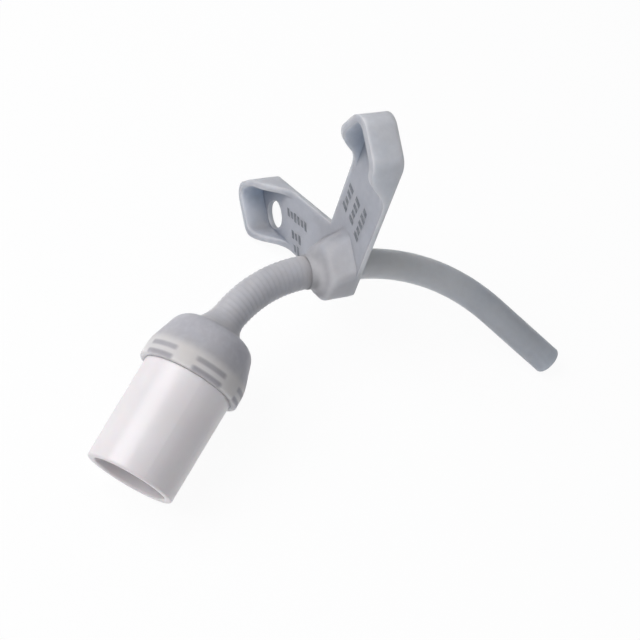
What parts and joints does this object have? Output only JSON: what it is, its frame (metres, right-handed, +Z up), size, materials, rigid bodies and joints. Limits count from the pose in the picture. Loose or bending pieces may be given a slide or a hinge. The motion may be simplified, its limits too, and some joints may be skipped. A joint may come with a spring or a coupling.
{
  "type": "tracheostomy tube",
  "caption": "Cuffless tracheostomy tube for a child: curved silicone shaft, V-shaped neck flange with tie eyelets, flexible extension and a hard tapered connector in a soft boot.",
  "frame": {"origin": "The middle of the foot of the box round the whole tube as it lies: Z is 0 on the table.", "axes": "+Z up from the table; +X the way the connector's open end points, seen from above; +Y across, with the shaft's tip at the +Y side. The wing under the tube is at -Y, the other wing stands up."},
  "size_m": [0.0712, 0.0674, 0.0496],
  "materials": {
    "flange_silicone": "satin",
    "tube_silicone": "satin",
    "boot_silicone": "satin",
    "connector_plastic": "semi-gloss"
  },
  "bodies": {
    "root": {"neck_flange": "flange_silicone", "shaft": "tube_silicone", "connector_boot": "boot_silicone", "connector": "connector_plastic"}
  },
  "joints": []
}
